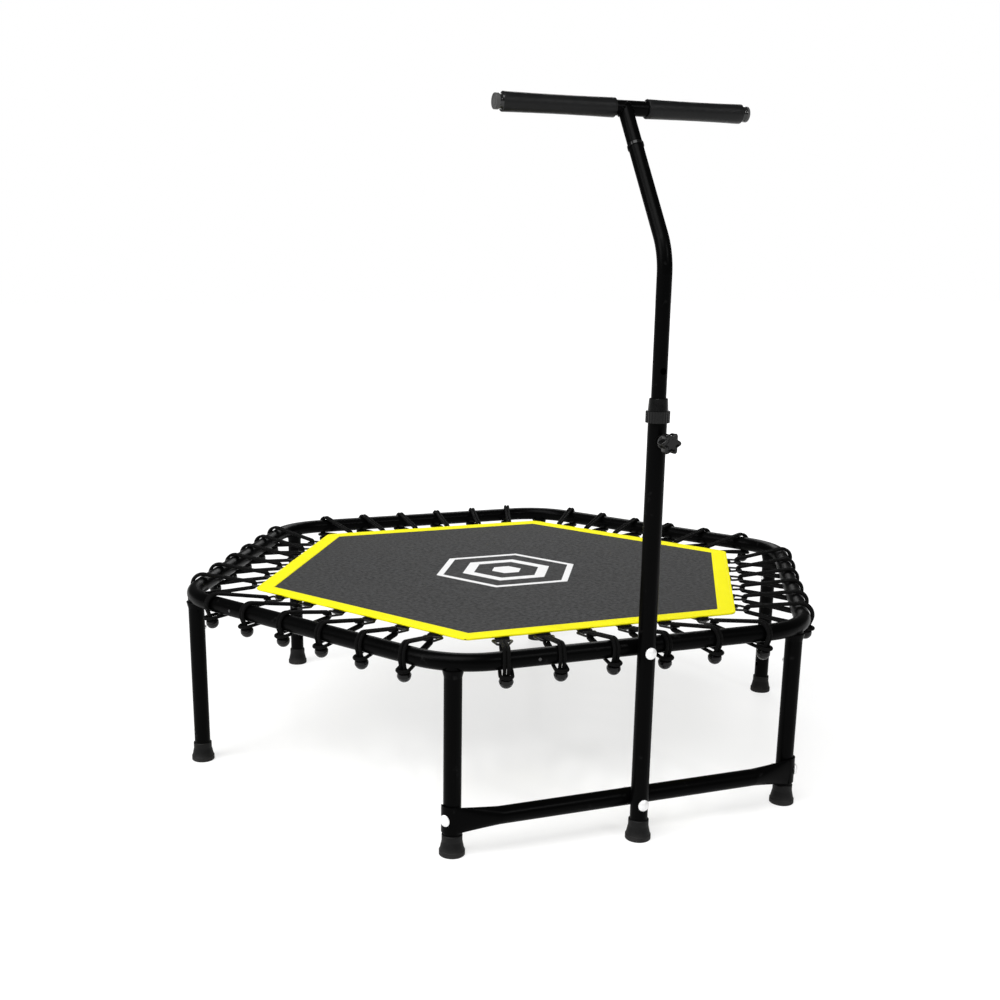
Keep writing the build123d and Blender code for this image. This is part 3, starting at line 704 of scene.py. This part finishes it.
# %% [markdown]
# Two rows of lock stitches hold the band. One stitch is a short length of thread that dips at
# both ends. It is copied along every side, and each copy is only a few dozen faces.

# %% Stitches
STITCH, STITCH_PITCH, THREAD_R = 3.2 * MM, 4.4 * MM, 0.38 * MM
STITCH_ROWS = (4.5 * MM, BAND_WIDTH - 4.5 * MM)

bpy.ops.mesh.primitive_cylinder_add(vertices=6, radius=THREAD_R, depth=STITCH,
                                    rotation=(0, radians(90), 0))
stitch = begin("stitch")
pick("edges", lambda at, way: abs(way.x) > 0.9)
bpy.ops.mesh.subdivide(number_cuts=2)
pick("verts", lambda at, way: abs(at.x) > STITCH * 0.4)
bpy.ops.transform.translate(value=(0, 0, -THREAD_R * 1.1))
close(stitch, smooth=70)

stitch_places = []
for angle in SIDES.values():
    for row in STITCH_ROWS:
        outward = BORDER_EDGE - row
        half_count = int((outward * tan(radians(30)) - STITCH) / STITCH_PITCH)
        for step in range(-half_count, half_count + 1):
            stitch_places.append(about_centre(angle)
                                 @ Matrix.Translation((outward, step * STITCH_PITCH, border_high.z))
                                 @ Matrix.Rotation(radians(90), 4, "Z"))
stitches = set_down(stitch, "binding_stitches", stitch_places)


def twisted_thread():
    finish = Finish("twisted_thread", Sheen_Weight=0.2)
    x, y, z = finish.axes(finish.place())
    twist = abs(((x + y + z) * (pi / (0.8 * MM))).sine())
    finish.bump(twist, 0.1 * MM)
    return finish.paint(finish.mix(twist, (0.70, 0.57, 0.008, 1), (0.90, 0.78, 0.012, 1)), 0.6 + twist * 0.1)


wear(stitches, "mat", "yellow_binding", twisted_thread())

# %% [markdown]
# ## Webbing tabs
#
# A short strap of webbing is folded round each metal ring and sewn under the band. The fold is
# a half turn about the ring's wire, so the strap is an edge that is extruded, spun and extruded
# again, and only then given its thickness. Each point keeps a note of where it was on the
# single tab, so that the weave runs the same way on all 36.

# %% One tab and its 36 copies
WEB_HALF = 11.8 * MM
WEB_THICK = 1.5 * MM
WEB_REACH = 27.5 * MM
FOLD_R = 3.0 * MM
RING_LENGTH = 22 * MM

bpy.ops.mesh.primitive_plane_add(size=2 * WEB_HALF, location=(-WEB_REACH - WEB_HALF, 0, FOLD_R))
tab = begin("webbing_tab")
pick("verts", lambda at, way: at.x < -WEB_REACH - WEB_HALF)
bpy.ops.mesh.delete(type="VERT")
bpy.ops.mesh.select_all(action="SELECT")
push(x=WEB_REACH)
bpy.ops.mesh.spin(steps=8, angle=radians(180), center=(0, 0, 0), axis=(0, 1, 0))
for step in ((-3.0, 0.6), (-3.0, 2.2), (-2.5, 1.6), (8.5 - WEB_REACH / MM, 0)):
    push(x=step[0] * MM, z=step[1] * MM)
close(tab)
modify(tab, "SOLIDIFY", thickness=WEB_THICK, offset=0)
modify(tab, "BEVEL", width=0.3 * MM, segments=2)
note = tab.data.attributes.new("on_the_tab", "FLOAT_VECTOR", "POINT")
note.data.foreach_set("vector", [number for corner in tab.data.vertices for number in corner.co])
print("the fold reaches", round(max(corner.co.x for corner in tab.data.vertices) / MM, 2), "mm past the wire")

tabs = set_down(tab, "webbing_tabs_folded",
                [loop.at_mat @ Matrix.Translation((-RING_LENGTH, 0, RING_Z))
                 for side in SIDES for loop in LOOPS[side]])


def woven_webbing():
    finish = Finish("woven_webbing", Specular_IOR_Level=0.1)
    noted = finish.node("Attribute", {"attribute_name": "on_the_tab"}, output=1)
    x, y, z = finish.axes(noted)
    weave = woven(finish, x + z, y, 1.4 * MM)
    fuzz = finish.noise(finish.place(), 700, 2)
    finish.bump(weave + fuzz * 0.3, 0.4 * MM)
    return finish.paint(finish.mix(weave * fuzz, grey(0.002), grey(0.010)), 0.75 + weave * 0.1)


wear(tabs, "mat", "black_webbing", woven_webbing())
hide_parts("webbing_tabs")

# %% [markdown]
# ## Handle
#
# The grips are tubes of closed-cell foam pushed onto the T-bar. Foam is cut, not moulded: its
# ends are square and a little rough, and its middle is drawn in where the tube was stretched
# over the bar.

# %% Foam grips
GRIP_R, GRIP_BORE, GRIP_END_DEPTH, GRIP_WAIST = 14.0 * MM, 11.1 * MM, 5 * MM, 0.7 * MM
random.seed(7)


def foam_grip(side):
    low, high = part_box(f"grip_{side}")
    middle, length = (low + high) / 2, high.x - low.x
    bpy.ops.mesh.primitive_cylinder_add(vertices=48, radius=GRIP_R, depth=length, location=middle,
                                        rotation=(0, radians(90), 0))
    piece = begin(f"foam_grip_{side}")
    pick("edges", lambda at, way: abs(way.x) > 0.9)
    bpy.ops.mesh.subdivide(number_cuts=14)
    for step in range(1, 15):
        here = low.x + length * step / 15
        pick("verts", lambda at, way: abs(at.x - here) < 1 * MM)
        waist = 1 - GRIP_WAIST / GRIP_R * sin(pi * step / 15) + random.uniform(-0.004, 0.004)
        bpy.ops.transform.resize(value=(1, waist, waist))
    for end, inward in ((low.x, 1), (high.x, -1)):
        pick("faces", lambda at, way: abs(way.x) > 0.9 and abs(at.x - end) < 0.1 * MM)
        bpy.ops.mesh.inset(thickness=GRIP_R - GRIP_BORE)
        push(x=inward * GRIP_END_DEPTH)
    pick("edges", lambda at, way: abs(way.x) < 0.1 and min(abs(at.x - low.x), abs(at.x - high.x)) < 0.1 * MM
         and hypot(at.y - middle.y, at.z - middle.z) > GRIP_R * 0.95)
    bpy.ops.mesh.bevel(offset=0.9 * MM, segments=3)
    return close(piece)


def closed_cell_foam():
    finish = Finish("closed_cell_foam", Specular_IOR_Level=0.16)
    place = finish.place()
    cells = finish.node("TexVoronoi", inputs={"Vector": place, "Scale": 1300.0})
    rubbed, bruises = finish.noise(place, 28, 3), finish.noise(place, 140, 3)
    finish.bump(cells + bruises * 0.8, 0.14 * MM)
    shade = finish.mix((rubbed * 0.7 + cells * 0.4).clamped(), grey(0.002), grey(0.008, -0.04))
    return finish.paint(shade, 0.26 + bruises * 0.2)


FOAM = closed_cell_foam()
for side in ("left", "right"):
    grip = foam_grip(side)
    wear(grip, "handle", "grip_foam", FOAM)
    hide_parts(f"grip_{side}")

# %% [markdown]
# A plug closes each end of the T-bar. It is turned from one cylinder: a dark neck with a groove
# where it meets the bar, a step, and a dished grey disc for its face.

# %% End plugs
PLUG_BLACK = moulded_plastic("plug_neck_plastic", 0.006, 0.014, 0.12, 0.03 * MM, coat=0.5)
PLUG_GREY = moulded_plastic("plug_face_plastic", 0.045, 0.075, 0.42, 0.08 * MM)
PLUG_SHARE = 0.9


def end_plug(side, way):
    low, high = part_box(f"end_plug_{side}")
    radius, tip = PLUG_SHARE * (high.y - low.y) / 2, (low.x if way < 0 else high.x)
    bar_end = bar_low.x if way < 0 else bar_high.x
    middle = Vector(((bar_end + tip) / 2, (low.y + high.y) / 2, (low.z + high.z) / 2))
    depth = abs(tip - bar_end)
    bpy.ops.mesh.primitive_cylinder_add(vertices=48, radius=radius, depth=depth, location=middle,
                                        rotation=(0, radians(90), 0))
    piece = begin(f"bar_plug_{side}")
    pick("edges", lambda at, along: abs(along.x) > 0.9)
    bpy.ops.mesh.subdivide(number_cuts=5)
    step = depth / 6
    pick("verts", lambda at, along: abs(at.x - bar_end) < 2.5 * step and abs(at.x - bar_end) > 0.5 * step)
    bpy.ops.transform.resize(value=(1, 0.93, 0.93))
    pick("faces", lambda at, along: along.x * way > 0.9 and abs(at.x - tip) < 0.1 * MM)
    bpy.ops.mesh.inset(thickness=1.6 * MM)
    push(x=-way * 0.5 * MM)
    bpy.ops.mesh.inset(thickness=4.0 * MM)
    push(x=way * 0.3 * MM)
    pick("edges", lambda at, along: abs(along.x) < 0.1 and abs(at.x - tip) < 0.1 * MM
         and hypot(at.y - middle.y, at.z - middle.z) > radius * 0.95)
    bpy.ops.mesh.bevel(offset=0.8 * MM, segments=3)
    close(piece)
    wear(piece, "handle", "plug_plastic", PLUG_BLACK, PLUG_GREY)
    for face in piece.data.polygons:
        face.material_index = int((face.center.x - bar_end) * way > 3.5 * step)
    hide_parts(f"end_plug_{side}")


end_plug("left", -1)
end_plug("right", 1)

# %% [markdown]
# The star knob is a six-lobed nut of glossy plastic. Its outline is a circle whose radius swells
# and shrinks six times. It starts as a cylinder: the corners at each angle from a lobe are
# picked together and drawn in. Both ends are then pushed out in small, narrowing steps, which
# rounds the shoulders, the front is dished round a raised cap, and the back grows a neck.

# %% Star knob
KNOB_LOBES, KNOB_STEPS, KNOB_SWELL = 6, 72, 2.4 * MM
KNOB_THICK = 15 * MM
KNOB_SHOULDER = ((1.3 * MM, 0.985), (1.1 * MM, 0.95), (0.8 * MM, 0.90), (0.3 * MM, 0.84))
KNOB_DISH = ((0.72, -0.9 * MM), (0.86, 0), (0.97, 0.7 * MM))
KNOB_NECK_SHARE = 0.62

knob_low, knob_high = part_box("knob")
knob_face = Vector((0, knob_low.y, (knob_low.z + knob_high.z) / 2))
knob_r = (knob_high.z - knob_low.z) / 2
neck_length = knob_high.y - knob_low.y - KNOB_THICK
to_front = Matrix.Translation(knob_face) @ Matrix.Rotation(radians(90), 4, "X")
shoulder_height = sum(rise for rise, _ in KNOB_SHOULDER)

bpy.ops.mesh.primitive_cylinder_add(vertices=KNOB_STEPS, radius=knob_r,
                                    depth=KNOB_THICK - 2 * shoulder_height,
                                    location=(0, 0, -KNOB_THICK / 2))
star = begin("star_knob")
slice_angle = 2 * pi / KNOB_STEPS
for step in range(1, KNOB_STEPS // KNOB_LOBES // 2 + 1):
    def at_this_angle(at, way):
        from_lobe = abs((atan2(at.y, at.x) + pi / KNOB_LOBES) % (2 * pi / KNOB_LOBES) - pi / KNOB_LOBES)
        return abs(from_lobe - step * slice_angle) < slice_angle / 4
    pick("verts", at_this_angle)
    drawn_in = 1 - KNOB_SWELL / knob_r * (1 - cos(KNOB_LOBES * step * slice_angle))
    bpy.ops.transform.resize(value=(drawn_in, drawn_in, 1))
for facing in (1, -1):
    pick("faces", lambda at, way: way.z * facing > 0.9)
    width = 1
    for rise, share in KNOB_SHOULDER:
        push(z=facing * rise)
        bpy.ops.transform.resize(value=(share / width, share / width, 1))
        width = share
    if facing > 0:
        for share, rise in KNOB_DISH:
            push()
            bpy.ops.transform.resize(value=(share, share, 1))
            bpy.ops.transform.translate(value=(0, 0, rise))
    else:
        push()
        bpy.ops.transform.resize(value=(KNOB_NECK_SHARE, KNOB_NECK_SHARE, 1))
        push(z=-neck_length)
close(star)
star = set_down(star, "star_knob", [to_front])

KNOB_PLASTIC = moulded_plastic("knob_plastic", 0.002, 0.005, 0.06, 0.03 * MM, specular=0.25)
wear(star, "knob", "gloss_black_plastic", KNOB_PLASTIC)
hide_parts("knob")

# %% [markdown]
# ## Welds
#
# A weld bead is a row of overlapping puddles. Where one tube meets another at a right angle,
# the line of the joint is a saddle: going round the smaller tube, the bead rises and falls with
# the larger tube's curve. The puddles are flattened spheres, set down along that line.

# %% Weld beads
PUDDLE_R = 1.9 * MM


def weld_bead(name, body, origin, branch, along, branch_r, main_r, count):
    """A bead where a branch tube leaves a main tube. Both directions are unit vectors."""
    sideways = branch.cross(along)
    bpy.ops.mesh.primitive_uv_sphere_add(segments=10, ring_count=6, radius=PUDDLE_R)
    puddle = begin(name)
    bpy.ops.mesh.select_all(action="SELECT")
    bpy.ops.transform.resize(value=(1.25, 1.0, 0.8))
    close(puddle, smooth=80)
    places = []
    for step in range(count):
        angle = 2 * pi * step / count
        across, ahead = branch_r * sin(angle), branch_r * cos(angle)
        rise = sqrt(max(0.0, main_r ** 2 - across ** 2))
        at = origin + branch * rise + sideways * across + along * ahead
        out = (sideways * across + along * ahead).normalized()
        turn = out.to_track_quat("Z", "Y").to_matrix().to_4x4()
        places.append(Matrix.Translation(at) @ turn @ Matrix.Rotation(random.uniform(-0.2, 0.2), 4, "Z"))
    bead = set_down(puddle, name, places)
    wear(bead, body, "black_powder_coat", POWDER_COAT)


# %% Satin black powder coat
def powder_coat():
    """Orange-peel relief, clouds in the gloss, and the odd pale scuff."""
    finish = Finish("satin_powder_coat", Specular_IOR_Level=0.03)
    place = finish.place()
    peel, clouds = finish.noise(place, 420, 2), finish.noise(place, 9, 3)
    scuffs = ((finish.noise(place, 55, 5) - 0.66) * 9).clamped()
    finish.bump(peel, 0.12 * MM)
    shade = finish.mix(clouds, grey(0.0005), grey(0.0018, -0.03))
    shade = finish.mix(scuffs * 0.3, shade, grey(0.03))
    return finish.paint(shade, 0.24 + clouds * 0.12 + scuffs * 0.15 + peel * 0.05)


POWDER_COAT = powder_coat()

# %% Beads at the T-joint and at the knob's boss
plug_low, plug_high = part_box("end_plug_left")
ring_low, ring_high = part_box("joint_ring")
bar_axis = Vector((0, (plug_low.y + plug_high.y) / 2, (plug_low.z + plug_high.z) / 2))
ring_middle = Vector((0, (ring_low.y + ring_high.y) / 2, (ring_low.z + ring_high.z) / 2))
down_stub = (ring_middle - bar_axis).normalized()
BAR_R, BOSS_R = 11.0 * MM, 8.0 * MM

weld_bead("handle_weld", "handle", bar_axis, down_stub, Vector((1, 0, 0)), BAR_R + 0.6 * MM, BAR_R, 26)
weld_bead("boss_weld", "frame", Vector((0, POST_Y, knob_face.z)), Vector((0, -1, 0)), Vector((0, 0, 1)),
          BOSS_R + 0.5 * MM, TUBE_R, 20)

# %% [markdown]
# ## Finishes of the frame
#
# The frame's own pieces keep the shape that the design gives them. Each gets a finish here: the
# steel is powder coated, bolts and nuts are bright zinc, feet are rubber, and the rings on the
# mat are dipped in black enamel.


# %% Zinc, rubber and enamel
def bright_zinc():
    finish = Finish("bright_zinc", Specular_IOR_Level=0.5)
    place = finish.place()
    spangle, rub = finish.noise(place, 260, 3), finish.noise(place, 900, 1)
    finish.bump(rub, 0.03 * MM)
    finish.feed(finish.shader.inputs["Metallic"], 0.25 + spangle * 0.2)
    return finish.paint(finish.mix(spangle, grey(0.88), grey(0.98)), 0.3 + spangle * 0.2)


def foot_rubber():
    """Matt rubber, dusty where it is near the floor."""
    finish = Finish("foot_rubber", Specular_IOR_Level=0.14)
    place = finish.place()
    height = finish.axes(place)[2]
    grain, smears = finish.noise(place, 1400, 2), finish.noise(place, 70, 4)
    dusty = ((1 - height / (16 * MM)).clamped() * smears * 1.3).clamped()
    finish.bump(grain + smears * 0.5, 0.12 * MM)
    shade = finish.mix(smears, grey(0.003), grey(0.008))
    return finish.paint(finish.mix(dusty * 0.35, shade, grey(0.07, 0.03)), 0.55 + dusty * 0.3)


def ring_enamel():
    finish = Finish("ring_enamel", Coat_Roughness=0.15, Specular_IOR_Level=0.2)
    place = finish.place()
    runs = finish.noise(place, 160, 2)
    rubbed = ((finish.noise(place, 380, 3) - 0.62) * 8).clamped()
    finish.bump(runs, 0.1 * MM)
    finish.feed(finish.shader.inputs["Metallic"], rubbed * 0.7)
    return finish.paint(finish.mix(rubbed, grey(0.004), grey(0.05)), 0.26 + runs * 0.15)


CAD_FINISHES = {
    "black_powder_coat": POWDER_COAT,
    "bright_zinc": bright_zinc(),
    "black_rubber": foot_rubber(),
    "dull_zinc": moulded_plastic("dull_zinc", 0.03, 0.10, 0.35, 0.05 * MM),
    "black_plastic": moulded_plastic("collar_plastic", 0.002, 0.006, 0.10, 0.03 * MM),
    "black_ring_wire": ring_enamel(),
}
for part in frame["record"]["subparts"]:
    node = frame["nodes"][part["node"]]
    slot = "dull_zinc" if part["node"] == "knob_washer" else part["material_slot"]  # this washer is dark
    finish = CAD_FINISHES.get(slot)
    if finish and not node.hide_render:
        node.data.materials.clear()
        node.data.materials.append(finish)

# %% [markdown]
# ## Studio
#
# The trampoline stands on a white sweep. The floor glows a little, which keeps the shadows pale,
# and turns pure white further out. A broad sun stands in for a white ceiling, and soft boxes
# draw the thin highlights along the black tubes. The camera sees pure white beyond the floor,
# while the object is lit by a greyer room, or black paint would look washed out.


# %% Floor and light
PLAIN_FROM, WHITE_AT = sqrt(2.0), sqrt(11.0)


def studio_floor():
    finish = Finish("studio_floor", Specular_IOR_Level=0.2, Emission_Strength=1.0)
    clouds = finish.noise(finish.place(), 0.6, 2)
    x, y, _ = finish.axes(finish.place())
    far_away = ((x * x + y * y - PLAIN_FROM ** 2) / (WHITE_AT ** 2 - PLAIN_FROM ** 2)).clamped()
    finish.feed(finish.shader.inputs["Emission Color"], finish.mix(far_away, grey(0.68), grey(1.0)))
    return finish.paint(finish.mix(clouds, grey(0.38), grey(0.40)), 0.14 + clouds * 0.04)


bpy.ops.mesh.primitive_plane_add(size=60)
floor = bpy.context.object
floor.name = "studio_floor"
floor.data.materials.append(studio_floor())

world = bpy.data.worlds.new("studio")
bpy.context.scene.world = world
world.use_nodes = True
nodes, links = world.node_tree.nodes, world.node_tree.links
room, white, chosen = nodes["Background"], nodes.new("ShaderNodeBackground"), nodes.new("ShaderNodeMixShader")
room.inputs["Color"].default_value, room.inputs["Strength"].default_value = grey(1.0), 0.10
white.inputs["Color"].default_value, white.inputs["Strength"].default_value = grey(1.0), 1.0
links.new(nodes.new("ShaderNodeLightPath").outputs["Is Camera Ray"], chosen.inputs["Fac"])
links.new(room.outputs[0], chosen.inputs[1])
links.new(white.outputs[0], chosen.inputs[2])
links.new(chosen.outputs[0], nodes["World Output"].inputs["Surface"])


def soft_box(name, place, size, power):
    """A large square light that faces the middle of the trampoline."""
    bpy.ops.object.light_add(type="AREA", location=place)
    light = bpy.context.object
    light.name = name
    light.data.size, light.data.energy = size, power
    facing = (CENTRE + Vector((0, 0, 0.4)) - Vector(place)).to_track_quat("-Z", "Y")
    light.rotation_euler = facing.to_euler()


bpy.ops.object.light_add(type="SUN", rotation=(radians(18), radians(-22), 0))
bpy.context.object.data.energy, bpy.context.object.data.angle = 2.5, radians(40)
soft_box("left_box", (-3.2, -0.6, 2.6), 1.8, 70)
soft_box("back_box", (1.6, 3.4, 2.8), 2.0, 60)
soft_box("front_box", (1.2, -3.0, 2.6), 0.35, 22)
